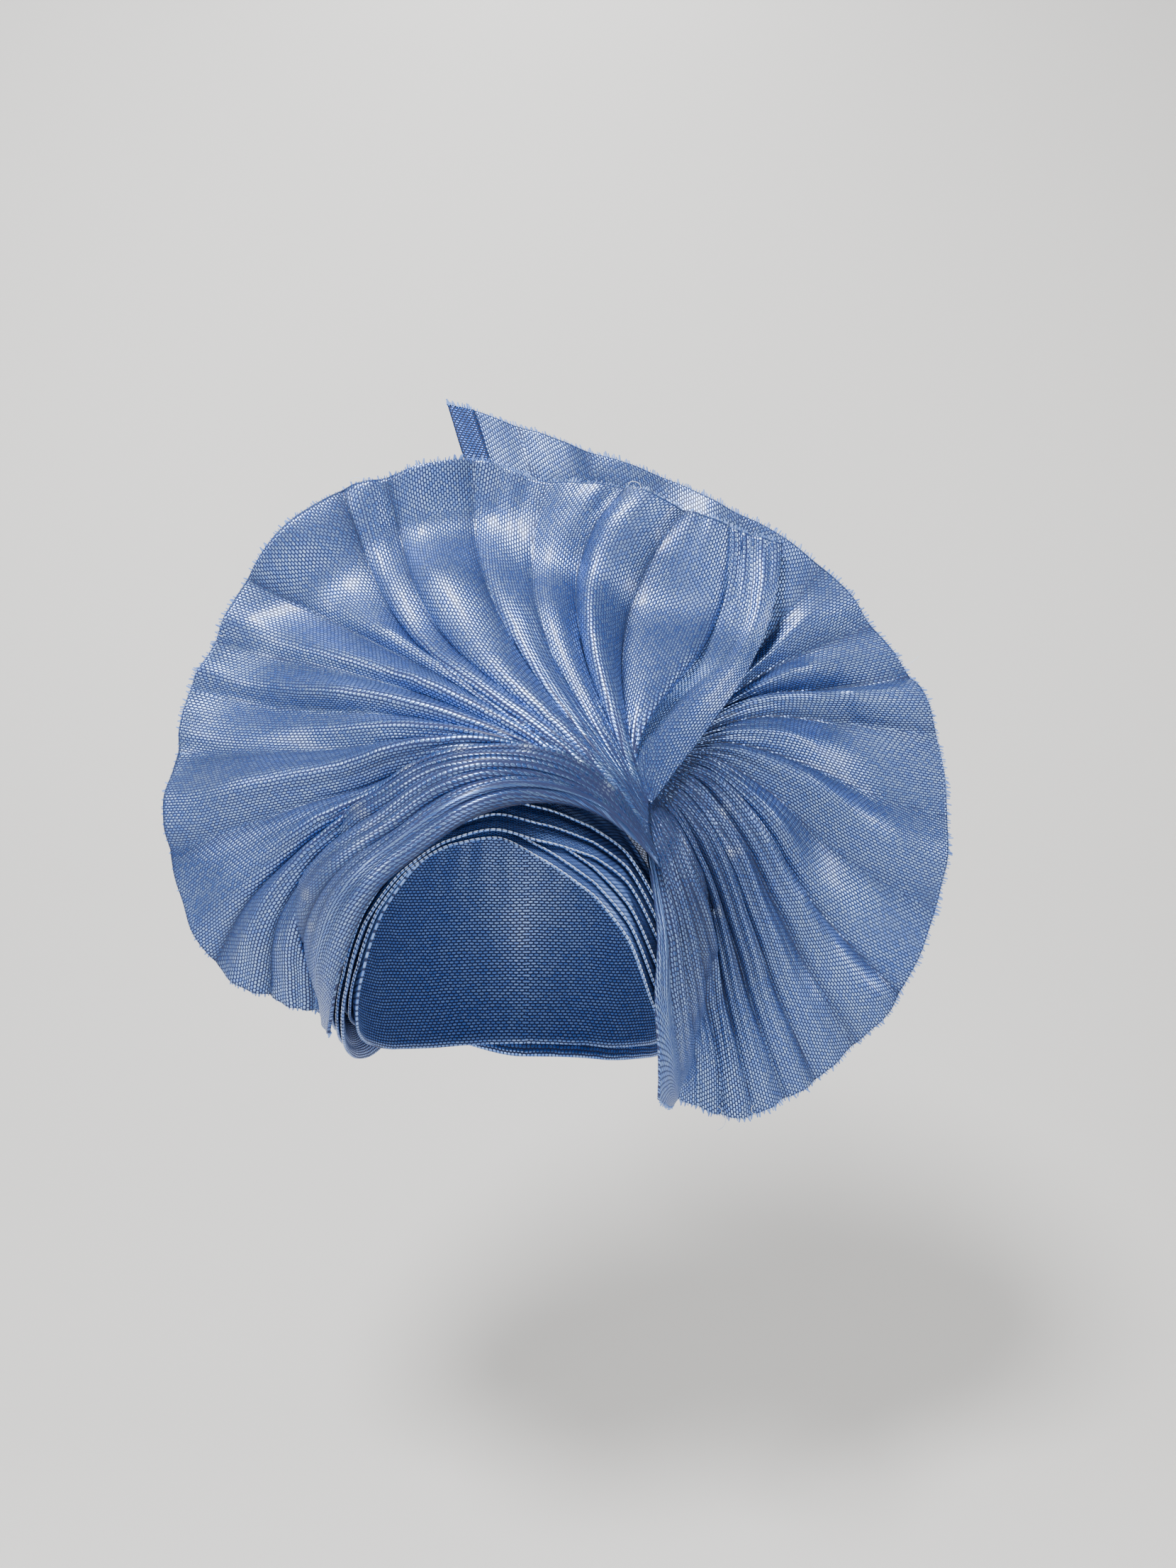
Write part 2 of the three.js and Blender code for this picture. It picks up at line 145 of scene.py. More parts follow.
# the band's lowest and highest line round the head, as shares of the head's half height
bandLines = table("azimuth low high", [
    [-180, -0.60, 0.55], [-140, -0.58, 0.50], [-110, -0.52, 0.28], [-88, -0.42, 0.05],
    [-70, -0.28, 0.12], [-56, -0.02, 0.32], [-47, 0.25, 0.52], [-35, 0.45, 0.68],
    [-20, 0.57, 0.78], [-4, 0.61, 0.83], [14, 0.52, 0.80], [30, 0.38, 0.72],
    [41, 0.20, 0.64], [50, -0.05, 0.44], [60, -0.22, 0.20], [80, -0.35, 0.05],
    [110, -0.50, 0.28], [140, -0.58, 0.50],
])
wrapAzimuths = np.array([-180, -80, -45, -4, 45, 75], float)
wrapEdges = np.array([
    [0.00, 0.30, 0.20, 0.00, 0.00, 0.00],
    [0.13, 0.40, 0.35, 0.14, 0.13, 0.12],
    [0.28, 0.50, 0.50, 0.30, 0.28, 0.25],
    [0.42, 0.00, 0.00, 0.03, 0.48, 0.40],
    [0.57, 0.12, 0.15, 0.24, 0.60, 0.52],
    [0.72, 0.26, 0.32, 0.44, 0.72, 0.65],
])
wrapWidth = 0.42


def rowAt(azimuths, azimuth):
    n = len(azimuths)
    i = np.clip(np.searchsorted(azimuths, azimuth, side="right") - 1, 0, n - 1)
    following = np.where(i == n - 1, azimuths[0] + 360, azimuths[(i + 1) % n])
    return i + (azimuth - azimuths[i]) / (following - azimuths[i])


def bandHeight(azimuth, share):
    row = rowAt(bandLines["azimuth"], azimuth)
    low = between(bandLines["low"], row, True)
    high = between(bandLines["high"], row, True)
    return headShape["centreZ"] + headShape["halfHeight"] * (low + (high - low) * share)


def onHead(azimuth, z, lift):  # points over the head, lifted off along its normal
    h = headShape
    rise = np.clip((z - h["centreZ"]) / h["halfHeight"], -0.9999, 0.9999)
    around = np.sqrt(1 - rise**2)
    angle = np.radians(azimuth)
    p = np.stack([h["halfWidth"] * around * np.sin(angle),
                  -h["halfDepth"] * around * np.cos(angle), h["halfHeight"] * rise], -1)
    out = p / np.array([h["halfWidth"], h["halfDepth"], h["halfHeight"]]) ** 2
    out /= np.linalg.norm(out, axis=-1, keepdims=True)
    return p + out * np.asarray(lift)[..., None] + np.array([0, h["centreY"], h["centreZ"]])


def wrapLift(index):
    c = clothLayers
    return headShape["ease"] + c["cap"] + c["gap"] + index * (c["wrap"] + c["gap"])


fanSeat = wrapLift(len(wrapEdges)) + clothLayers["fan"]


def dishDepth(x, z):
    h, f = headShape, fanShape
    middle = h["centreZ"] + f["dishRise"]
    angle = np.arctan2(z - middle, x)

    def oval(a, b):
        return 1 / np.hypot(np.cos(angle) / a, np.sin(angle) / b)

    face = oval(h["halfWidth"] + f["dishEase"], f["dishLevel"] * h["halfHeight"])
    out = (np.hypot(x, z - middle) - face) / (oval(f["sideReach"], f["topReach"]) - face)
    brow = f["rimSetBack"] - f["leanBack"] + h["halfDepth"] * (f["browBack"] - f["browTurn"] * np.sin(angle))
    run = np.where(out > 0, 1 - np.maximum(1 - out, 0) ** f["dishCurve"], f["dishCurve"] * out)
    return brow + (f["rimSetBack"] - brow) * run


def headDepth(x, z, lift):
    h = headShape
    inside = 1 - (x / (h["halfWidth"] + lift)) ** 2 \
        - ((z - h["centreZ"]) / (h["halfHeight"] + lift)) ** 2
    return h["centreY"] - np.sign(inside) * (h["halfDepth"] + lift) * np.sqrt(np.abs(inside))


def nearer(a, b, blend):
    t = np.clip(0.5 + 0.5 * (b - a) / blend, 0, 1)
    return b + (a - b) * t - blend * t * (1 - t)


def fanBase(folds, setBack, lift, blend, u, q):  # the smooth sheet under the folds
    f = fanShape
    g = {name: between(column, u) for name, column in folds.items()}
    rim = np.radians(g["rim"])
    leave, arrive = np.radians(g["leave"]), np.radians(g["arrive"])
    reach = g["reach"] * f["reach"]
    root = np.stack([f["gatherX"] + g["side"] * f["gatherReach"],
                     f["gatherZ"] + g["rise"] * f["gatherReach"]], -1)
    end = np.stack([f["gatherX"] + reach * np.cos(rim), f["gatherZ"] + reach * np.sin(rim)], -1)
    span = np.linalg.norm(end - root, axis=-1)
    first = root + np.stack([np.cos(leave), np.sin(leave)], -1) * (span * g["start"])[..., None]
    second = end - np.stack([np.cos(arrive), np.sin(arrive)], -1) * (span * g["end"])[..., None]
    t = q[..., None]
    path = (1 - t)**3 * root + 3 * (1 - t)**2 * t * first + 3 * (1 - t) * t * t * second + t**3 * end
    x, z = path[..., 0], path[..., 1]
    free = dishDepth(x, z) + setBack[0] + (setBack[1] - setBack[0]) * q
    return np.stack([x, nearer(free, headDepth(x, z, lift(u, q)), blend), z], -1)


def gridNormals(p):
    n = np.cross(np.gradient(p, axis=0), np.gradient(p, axis=1))
    n /= np.maximum(np.linalg.norm(n, axis=-1, keepdims=True), 1e-9)
    return np.where(n[..., 1:2] > 0, -n, n)


def crest(across, lap, soft):  # 0 at a fold's creases, 1 at its crest; soft ones have no sharp crease
    f = fanShape
    top = 0.5 - f["foldLap"] * lap
    t = np.clip(np.where(across < top, across / top, (1 - across) / (1 - top)), 0, 1)
    return np.sin(0.5 * math.pi * t) ** (f["foldRound"] + f["softRound"] * soft)


# creases and crinkles that only the cloth shows, heights in mm
clothPlay = {
    "smallPleats": 3, "smallPleatHeight": 1.5, "smallPleatReach": 0.75, "smallPleatSteep": 0.24,
    "ruffle": 1.6, "ruffleCount": 2.2, "ruffleFrom": 0.8, "sway": 11, "swayLength": 112, "swayFrom": 0.25,
    "crinkle": 0.25, "overhang": 0.4,
}

# painted shade: how much light creases, small pleats and the tight gather lose, painted into the fan's
# colour as darkening
paintedFoldShade = {
    "crease": 0.85, "creaseEdge": 2.5, "pleat": 0.85, "pleatEdge": 1.3, "gather": 0.7, "gatherReach": 0.32,
    "tightReach": 0.5,
}

# how soft each fold is, and how finely it is pleated towards the gather
frontPlay = {
    "soft": [0.4, 0.3, 0.3, 0.1, 1, 1, 1, 0.8, 0.3, 0.0, 0.3, 0.0, 0.6, 0.2, 0, 1, 1],
    "tall": [0.8, 1.0, 1.2, 1.1, 1.8, 1.2, 2.2, 1.3, 1.2, 0.8, 1.1, 0.6, 0.6, 1.1, 1, 0.3, 0.4],
    "rim": [0.4, 0.5, 0.5, 0.5, 0.5, 0.5, 0.5, 0.5, 0.5, 0.7, 0.7, 0.4, 0.5, 1, 1, 1, 1],
    "fine": [2.6, 2.4, 2.2, 2, 1.8, 1.2, 0.8, 0.6, 0.6, 0.5, 0.5, 0.5, 0.5, 0.4, 0.5, 0, 0],
}
rearPlay = {
    "soft": [1, 1, 1, 1, 1, 0.8, 0.6, 0.2, 0.8, 1, 0.6, 0.2, 0.6, 0.2, 0.4, 0.2, 0.3, 0.3, 0.3],
    "tall": [1, 1, 1, 1, 1, 1.4, 1.8, 1.9, 1.2, 2.0, 1.2, 1.6, 0.8, 1.1, 0.8, 0.6, 0.4, 0.3, 0.3],
    "rim": [1, 1, 1, 1, 0.8, 0.6, 0.5, 0.4, 0.4, 0.4, 0.4, 0.35, 0.3, 0.3, 0.3, 0.3, 0.3, 0.4, 0.4],
    "fine": [0.3, 0.3, 0.3, 0.3, 0.3, 0.4, 0.6, 0.7, 0.9, 1.1, 1.4, 1.7, 1.9, 2.1, 2.2, 2.2, 2, 1.8, 1.2],
}


def waves(u, q, seed, scaleU, scaleQ, count=5):  # a soft, seeded unevenness
    own = np.random.default_rng(seed)
    total = np.zeros_like(u)
    for _ in range(count):
        a, b = own.uniform(0.4, 1.3, 2)
        c, d = own.uniform(0, 2 * math.pi, 2)
        total += np.sin(u * scaleU * a + c + 1.3 * np.sin(q * scaleQ * 0.5 + d)) \
            * np.sin(q * scaleQ * b + d)
    return total / count


# spots on the pleats where the thread is rubbed pale, in mm
rubbed = {"size": 2.3, "spots": [
    (29, 112), (40, 101), (94, 92), (-40, 109), (-63, 94), (-75, 77), (-79, 57), (-77, 44),
    (97, 74), (88, 48), (101, 98), (8, 116), (-18, 114),
]}


def fanSheet(folds, base, own, seed):
    play, shade, f = clothPlay, paintedFoldShade, fanShape
    count = len(folds["rim"]) - 1
    columns, rows = meshDetail["foldColumns"], meshDetail["fanRows"]
    u1 = np.linspace(0, count, count * columns + 1)
    q1 = np.linspace(0, 1, rows + 1)
    u, q = np.meshgrid(u1, q1, indexing="ij")
    smooth = base(u, q)
    normal = gridNormals(smooth)
    widths = np.linalg.norm(np.diff(smooth[::columns], axis=0), axis=-1)
    fold = np.clip(np.floor(u1).astype(int), 0, count - 1)
    across = u - fold[:, None]
    width = widths[fold]
    lap = folds["lap"][fold][:, None]
    soft, tall, rim, fine = (np.array(own[name])[fold][:, None] for name in ("soft", "tall", "rim", "fine"))
    mid = ease(2 * q) * folds["mid"][fold][:, None]
    share = mid + (folds["edge"][fold][:, None] - mid) * ease(2 * q - 1)
    share = share * tall * (1 - (1 - rim) * ease(1.6 * q - 0.6))
    bump = crest(across, lap, soft)
    height = np.minimum(f["relief"] * share, f["steepness"] * width) * bump
    # small pleats run out of the gather and fade away
    fade = fine * (1 - ease(q / (play["smallPleatReach"] + 0.4 * np.clip(fine - 1, 0, 1))))
    wander = 0.6 * waves(u, q, seed, 0.8, 3)
    ripple = np.abs(np.sin(math.pi * play["smallPleats"] * across + wander))
    steepest = play["smallPleatSteep"] * width
    small = np.minimum(play["smallPleatHeight"] * fade, steepest) * ripple * ease(6 * q)
    x, z = smooth[..., 0], smooth[..., 2]
    turn = 2 * math.pi / play["swayLength"]
    sway = play["sway"] * waves(x, z, seed + 1, turn, turn) * ease((q - play["swayFrom"]) / 0.5)
    turn = 2 * math.pi * play["ruffleCount"]
    ruffle = play["ruffle"] * waves(u, q, seed + 2, turn, 2) * ease((q - play["ruffleFrom"]) / 0.2)
    crinkle = play["crinkle"] * waves(u, q, seed + 3, 17, 60, 9)
    lifted = height + small + sway + ruffle + crinkle
    sideways = np.gradient(smooth, axis=0)
    sideways /= np.maximum(np.linalg.norm(sideways, axis=-1, keepdims=True), 1e-9)
    face = smooth + normal * lifted[..., None] - sideways * (lap * play["overhang"] * height)[..., None]
    # painted shade: how far light gets in, little into hard creases and between tight pleats; the colour
    # darkens where little gets in
    creased = (1 - bump) ** shade["creaseEdge"] * (1 - 0.6 * soft) * np.clip(3 * share, 0, 1)
    pleated = (1 - ripple) ** shade["pleatEdge"] * np.clip(fade, 0, 1) * ease(6 * q)
    closed = shade["gatherReach"] + shade["tightReach"] * np.clip(fine - 1, 0, 1.2)
    gathered = (1 - ease(q / closed)) * np.clip(fine + 0.3, 0, 1)
    paintedShadeOpenness = (1 - shade["crease"] * creased) * (1 - shade["pleat"] * pleated)
    paintedShadeOpenness *= 1 - shade["gather"] * gathered
    spots = sum(np.exp(-((x - a) ** 2 + (z - b) ** 2) / rubbed["size"] ** 2) for a, b in rubbed["spots"])
    return face, {"paintedShadeOpenness": paintedShadeOpenness, "rubbed": np.clip(spots * ripple, 0, 1)}


def runAlong(points, way):  # the length gone along a grid, one way or the other
    steps = np.linalg.norm(np.diff(points, axis=way), axis=-1)
    first = np.zeros_like(np.take(steps, [0], way))
    return np.concatenate([first, np.cumsum(steps, way)], way)


def weaveUv(face, columns):  # metric cloth coordinates, one patch for each fold
    count = (face.shape[0] - 1) // columns
    down = runAlong(face, 1)
    fromRim = down[:, -1:] - down
    patches = []
    start = 0.0
    for k in range(count):
        block = slice(k * columns, (k + 1) * columns + 1)
        gone = runAlong(face[block], 0)
        middle = gone[columns // 2]
        patches.append((fromRim[block], start + gone[-1, -1] / 2 + gone - middle))
        start += gone[-1, -1]
    return patches


def sheetMesh(name, points, uvPatches, columns, masks, ringed=False):
    nu, nv = points.shape[:2]
    index = np.arange(nu * nv).reshape(nu, nv)
    across = nu if ringed else nu - 1
    i, j = np.meshgrid(np.arange(across), np.arange(nv - 1), indexing="ij")
    k = (i + 1) % nu
    faces = np.stack([index[i, j], index[k, j], index[k, j + 1], index[i, j + 1]], -1).reshape(-1, 4)
    mesh = bpy.data.meshes.new(name)
    mesh.vertices.add(nu * nv)
    mesh.vertices.foreach_set("co", (points.reshape(-1, 3) * mm).astype(np.float32).ravel())
    mesh.loops.add(len(faces) * 4)
    mesh.loops.foreach_set("vertex_index", faces.astype(np.int32).ravel())
    mesh.polygons.add(len(faces))
    mesh.polygons.foreach_set("loop_start", np.arange(0, len(faces) * 4, 4, dtype=np.int32))
    mesh.update()
    uv = np.zeros((across, nv - 1, 4, 2))
    for patch, (uu, vv) in enumerate(uvPatches):
        a = slice(patch * columns, min((patch + 1) * columns, across))
        for corner, (di, dj) in enumerate(((0, 0), (1, 0), (1, 1), (0, 1))):
            n = a.stop - a.start
            uv[a, :, corner, 0] = uu[di:di + n, dj:dj + nv - 1]
            uv[a, :, corner, 1] = vv[di:di + n, dj:dj + nv - 1]
    layer = mesh.uv_layers.new(name="cloth")
    layer.data.foreach_set("uv", (uv * mm).astype(np.float32).ravel())
    for maskName, values in masks.items():
        attribute = mesh.attributes.new(maskName, "FLOAT", "POINT")
        attribute.data.foreach_set("value", values.astype(np.float32).ravel())
    mesh.polygons.foreach_set("use_smooth", np.ones(len(faces), dtype=bool))
    mesh.validate()
    piece = bpy.data.objects.new(name, mesh)
    bpy.context.collection.objects.link(piece)
    return piece


def turnOut(piece, outward):  # faces follow the outward side of the cloth
    mesh = piece.data
    face = mesh.polygons[len(mesh.polygons) // 2]
    if face.normal.dot(outward(face.center)) < 0:
        mesh.flip_normals()


def thicken(piece, wall):  # the wall goes in behind the face that shows
    solid = piece.modifiers.new("wall", "SOLIDIFY")
    solid.thickness = wall * mm
    solid.offset = -1
    solid.use_even_offset = False
    bpy.context.view_layer.objects.active = piece
    bpy.ops.object.select_all(action="DESELECT")
    piece.select_set(True)
    bpy.ops.object.modifier_apply(modifier=solid.name)


# the weave in metres and shares of a pitch
weaveShape = {
    "Thread Pitch": 0.0023, "Row Pitch": 0.0013, "Float Length": 0.43, "Float Width": 0.37,
}
weaveForm = {"wanderScale": 90, "wander": 0.0009, "endRound": 2.6, "sideRound": 2.2, "dome": 0.5}

# colours of the three cloths; the fan's darkest colour is painted shade for its creases, small pleats and
# gather
clothLook = {
    "fan": {"ground": (0.003, 0.012, 0.080), "thread": (0.04, 0.165, 0.72), "light": (0.39, 0.60, 1.0),
            "paintedShadeColour": (0.002, 0.008, 0.050), "rubbed": (0.55, 0.66, 0.84)},
    "band": {"ground": (0.004, 0.014, 0.075), "thread": (0.05, 0.16, 0.58), "light": (0.26, 0.43, 0.85)},
    "hem": {"ground": (0.001, 0.005, 0.035), "thread": (0.008, 0.042, 0.24), "light": (0.04, 0.11, 0.42)},
}

# the surface between the raised threads and on them
clothFinish = {
    "roughBetween": 0.75, "roughRaised": 0.31, "shineRaised": 0.92, "shineCap": 0.35,
    "bump": 0.4, "bumpDepth": 0.0004, "coat": 0.12, "coatRough": 0.25, "specular": 0.5,
    "patches": {"Scale": 22, "Detail": 3, "Patch Share": 0.5, "Slub Share": 0.55},
}


def node(tree, kind, where, **settings):
    made = tree.nodes.new(kind)
    made.location = where
    for key, value in settings.items():
        setattr(made, key, value)
    return made


def maths(tree, operation, where, *inputs):
    made = node(tree, "ShaderNodeMath", where, operation=operation)
    for slot, value in enumerate(inputs):
        if isinstance(value, (int, float)):
            made.inputs[slot].default_value = value
        else:
            tree.links.new(value, made.inputs[slot])
    return made.outputs[0]


def basketWeaveGroup():  # staggered floating threads, from the cloth's own metric map
    tree = bpy.data.node_groups.new("basketWeave", "ShaderNodeTree")
    face = tree.interface
    face.new_socket("Cloth Map", in_out="INPUT", socket_type="NodeSocketVector")
    for name, value in weaveShape.items():
        face.new_socket(name, in_out="INPUT", socket_type="NodeSocketFloat").default_value = value
    for name in ("Float", "Height", "Slub"):
        face.new_socket(name, in_out="OUTPUT", socket_type="NodeSocketFloat")
    start = node(tree, "NodeGroupInput", (-1400, 0))
    end = node(tree, "NodeGroupOutput", (900, 0))
    # threads wander a little, so the rows aren't ruled lines
    wander = node(tree, "ShaderNodeTexNoise", (-1200, -300))
    wander.inputs["Scale"].default_value = weaveForm["wanderScale"]
    wander.inputs["Detail"].default_value = 1
    tree.links.new(start.outputs["Cloth Map"], wander.inputs["Vector"])
    shift = node(tree, "ShaderNodeVectorMath", (-1000, -300), operation="SCALE")
    shift.inputs["Scale"].default_value = weaveForm["wander"]
    tree.links.new(wander.outputs["Color"], shift.inputs[0])
    moved = node(tree, "ShaderNodeVectorMath", (-800, -100), operation="ADD")
    tree.links.new(start.outputs["Cloth Map"], moved.inputs[0])
    tree.links.new(shift.outputs[0], moved.inputs[1])
    split = node(tree, "ShaderNodeSeparateXYZ", (-600, 0))
    tree.links.new(moved.outputs[0], split.inputs[0])

    def fromMiddle(value, y):  # how far a point lies from the middle of its cell
        inCell = maths(tree, "FRACT", (150, y), value)
        return maths(tree, "ABSOLUTE", (350, y), maths(tree, "SUBTRACT", (250, y), inCell, 0.5))

    def falloff(distance, reach, edge, y):
        return maths(tree, "POWER", (550, y), maths(tree, "DIVIDE", (450, y), distance, reach), edge)

    # every second row of floats is shifted by half a pitch
    across = maths(tree, "DIVIDE", (-400, -150), split.outputs["Y"], start.outputs["Row Pitch"])
    row = maths(tree, "FLOOR", (-200, -250), across)
    half = maths(tree, "MULTIPLY", (-100, -350), row, 0.5)
    odd = maths(tree, "PINGPONG", (-50, -250), half, 0.5)
    straight = maths(tree, "DIVIDE", (-400, 100), split.outputs["X"], start.outputs["Thread Pitch"])
    along = maths(tree, "ADD", (50, 50), straight, odd)
    column = maths(tree, "FLOOR", (50, 200), along)
    ends = falloff(fromMiddle(along, 100), start.outputs["Float Length"], weaveForm["endRound"], 100)
    sides = falloff(fromMiddle(across, -100), start.outputs["Float Width"], weaveForm["sideRound"], -100)
    dome = maths(tree, "SUBTRACT", (650, 0), 1.0, maths(tree, "ADD", (600, 0), ends, sides))
    height = maths(tree, "MAXIMUM", (720, 0), dome, 0.0)
    mask = node(tree, "ShaderNodeMapRange", (760, 150), interpolation_type="SMOOTHSTEP")
    mask.inputs["From Max"].default_value = 0.5
    tree.links.new(height, mask.inputs["Value"])
    cell = node(tree, "ShaderNodeCombineXYZ", (250, 350))
    tree.links.new(column, cell.inputs["X"])
    tree.links.new(row, cell.inputs["Y"])
    slub = node(tree, "ShaderNodeTexWhiteNoise", (450, 350), noise_dimensions="2D")
    tree.links.new(cell.outputs[0], slub.inputs["Vector"])
    tree.links.new(mask.outputs["Result"], end.inputs["Float"])
    tree.links.new(maths(tree, "POWER", (800, -100), height, weaveForm["dome"]), end.inputs["Height"])
    tree.links.new(slub.outputs["Value"], end.inputs["Slub"])
    return tree


def rangeOf(tree, where, value, low, high):
    made = node(tree, "ShaderNodeMapRange", where)
    made.inputs["To Min"].default_value = low
    made.inputs["To Max"].default_value = high
    tree.links.new(value, made.inputs["Value"])
    return made.outputs[0]


def mixed(tree, where, share, first, second):  # first and second are colours or links
    made = node(tree, "ShaderNodeMix", where, data_type="RGBA")
    tree.links.new(share, made.inputs[0])
    for slot, value in ((6, first), (7, second)):
        if isinstance(value, tuple):
            made.inputs[slot].default_value = (*value, 1)
        else:
            tree.links.new(value, made.inputs[slot])
    return made.outputs[2]


def unevenDyeGroup():  # how light the yarn took the dye, in patches and thread by thread
    tree = bpy.data.node_groups.new("unevenDye", "ShaderNodeTree")
    face = tree.interface
    face.new_socket("Place", in_out="INPUT", socket_type="NodeSocketVector")
    for name in ("Scale", "Detail", "Patch Share", "Slub", "Slub Share"):
        face.new_socket(name, in_out="INPUT", socket_type="NodeSocketFloat")
    face.new_socket("Paleness", in_out="OUTPUT", socket_type="NodeSocketFloat")
    start = node(tree, "NodeGroupInput", (-600, 0))
    end = node(tree, "NodeGroupOutput", (400, 0))
    patches = node(tree, "ShaderNodeTexNoise", (-300, 0))
    tree.links.new(start.outputs["Place"], patches.inputs["Vector"])
    tree.links.new(start.outputs["Scale"], patches.inputs["Scale"])
    tree.links.new(start.outputs["Detail"], patches.inputs["Detail"])
    patch = maths(tree, "MULTIPLY", (0, 0), patches.outputs["Fac"], start.outputs["Patch Share"])
    pale = maths(tree, "MULTIPLY_ADD", (200, 0), start.outputs["Slub"], start.outputs["Slub Share"], patch)
    tree.links.new(pale, end.inputs["Paleness"])
    return tree


dyeGroup = unevenDyeGroup()


def unevenDye(tree, values, slub=None):
    place = node(tree, "ShaderNodeTexCoord", (-900, -350))
    group = node(tree, "ShaderNodeGroup", (-600, -350), node_tree=dyeGroup)
    for key, value in values.items():
        group.inputs[key].default_value = value
    tree.links.new(place.outputs["Object"], group.inputs["Place"])
    if slub:
        tree.links.new(slub, group.inputs["Slub"])
    return group.outputs["Paleness"]


def clothMaterial(name, look, weave, shineRaised, paintShade=False):
    finish = clothFinish
    material = bpy.data.materials.new(name)
    material.use_nodes = True
    tree = material.node_tree
    tree.nodes.clear()
    end = node(tree, "ShaderNodeOutputMaterial", (1100, 0))
    skin = node(tree, "ShaderNodeBsdfPrincipled", (800, 0))
    tree.links.new(skin.outputs[0], end.inputs["Surface"])
    clothMap = node(tree, "ShaderNodeUVMap", (-900, 0), uv_map="cloth")
    group = node(tree, "ShaderNodeGroup", (-600, 0), node_tree=weave)
    for key, value in weaveShape.items():
        group.inputs[key].default_value = value
    tree.links.new(clothMap.outputs[0], group.inputs["Cloth Map"])
    paleness = unevenDye(tree, finish["patches"], group.outputs["Slub"])
    threads = mixed(tree, (0, 200), paleness, look["thread"], look["light"])
    colour = mixed(tree, (250, 150), group.outputs["Float"], look["ground"], threads)
    # painted shade: the colour darkens towards the darkest fan colour where little light gets into creases,
    # pleats and the gather; rubbed spots pale the raised threads
    if paintShade:
        paintedShadeNode = node(tree, "ShaderNodeAttribute", (250, 450), attribute_name="paintedShadeOpenness")
        rub = node(tree, "ShaderNodeAttribute", (500, 550), attribute_name="rubbed")
        colour = mixed(tree, (500, 250), paintedShadeNode.outputs["Fac"], look["paintedShadeColour"], colour)
        worn = maths(tree, "MULTIPLY", (620, 500), rub.outputs["Fac"], group.outputs["Float"])
        colour = mixed(tree, (700, 350), worn, colour, look["rubbed"])
    tree.links.new(colour, skin.inputs["Base Color"])
    raised = group.outputs["Float"]
    rough = rangeOf(tree, (250, -100), raised, finish["roughBetween"], finish["roughRaised"])
    tree.links.new(rough, skin.inputs["Roughness"])
    tree.links.new(rangeOf(tree, (250, -300), raised, 0.0, shineRaised), skin.inputs["Metallic"])
    bump = node(tree, "ShaderNodeBump", (550, -250))
    bump.inputs["Strength"].default_value = finish["bump"]
    bump.inputs["Distance"].default_value = finish["bumpDepth"]
    tree.links.new(group.outputs["Height"], bump.inputs["Height"])
    tree.links.new(bump.outputs[0], skin.inputs["Normal"])
    skin.inputs["Coat Weight"].default_value = finish["coat"]
    skin.inputs["Coat Roughness"].default_value = finish["coatRough"]
    skin.inputs["Specular IOR Level"].default_value = finish["specular"]
    return material


weaveGroup = basketWeaveGroup()
shine = clothFinish["shineRaised"]
# the fan's colour carries painted shade in its creases, small pleats and gather
fanCloth = clothMaterial("fanBasketWeavePaintedShade", clothLook["fan"], weaveGroup, shine, paintShade=True)
endCloth = clothMaterial("endHemWeave", clothLook["fan"], weaveGroup, shine)
bandCloth = clothMaterial("bandBasketWeave", clothLook["band"], weaveGroup, shine)
capCloth = clothMaterial("capBasketWeave", clothLook["band"], weaveGroup, clothFinish["shineCap"])
hemCloth = clothMaterial("hemBasketWeave", clothLook["hem"], weaveGroup, shine)
print("materials made")


# how the fans leave the head: places counted in folds, or in shares of the way from gather to rim
fanRoots = {
    "riseAfter": 6, "riseOver": 5, "gatherShare": 0.15, "softOver": 4, "frontSoftTo": 5, "rearSoftFrom": 12,
}


def frontLift(u, q):  # the front fan rises over the rear one above and along the gather
    r = fanRoots
    over = ease((u - r["riseAfter"]) / r["riseOver"])
    return fanSeat + np.maximum(over, 1 - ease(q / r["gatherShare"])) * fanShape["rearRoot"]


def templeSoft(nearTemple):
    return fanShape["headBlend"] * (1 + fanShape["templeBlend"] * ease(nearTemple / fanRoots["softOver"]))


def frontBase(u, q):  # its first pleats leave the temple softly
    return fanBase(frontFolds, (0, 0), frontLift, templeSoft(fanRoots["frontSoftTo"] - u), u, q)


def rearBase(u, q):  # its last pleats leave the temple softly
    setBack = (fanShape["rearRoot"], fanShape["rearRim"])
    return fanBase(rearFolds, setBack, lambda *_: fanSeat, templeSoft(u - fanRoots["rearSoftFrom"]), u, q)


def toFront(point):
    return point.__class__((0, -1, 0))


def makeFan(name, folds, base, own, seed, cadNode):
    face, masks = fanSheet(folds, base, own, seed)
    columns = meshDetail["foldColumns"]
    piece = sheetMesh(name, face, weaveUv(face, columns), columns, masks)
    turnOut(piece, toFront)
    thicken(piece, clothLayers["fan"])
    piece.data.materials.append(fanCloth)
    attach(piece, "root")
    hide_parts(cadNode)
    print(name, "made")
    return face


frontFace = makeFan("frontFan", frontFolds, frontBase, frontPlay, 11, "front_fan")
rearFace = makeFan("rearFan", rearFolds, rearBase, rearPlay, 23, "rear_fan")

# six flat wraps round the head: heights in mm, places in shares of a wrap's width
wrapFinish = {
    "bead": 0.7, "beadReach": 0.05, "step": 0.45, "stepAt": 0.33, "stepOver": 0.05, "wave": 0.05,
    "wrinkle": 0.22,
}


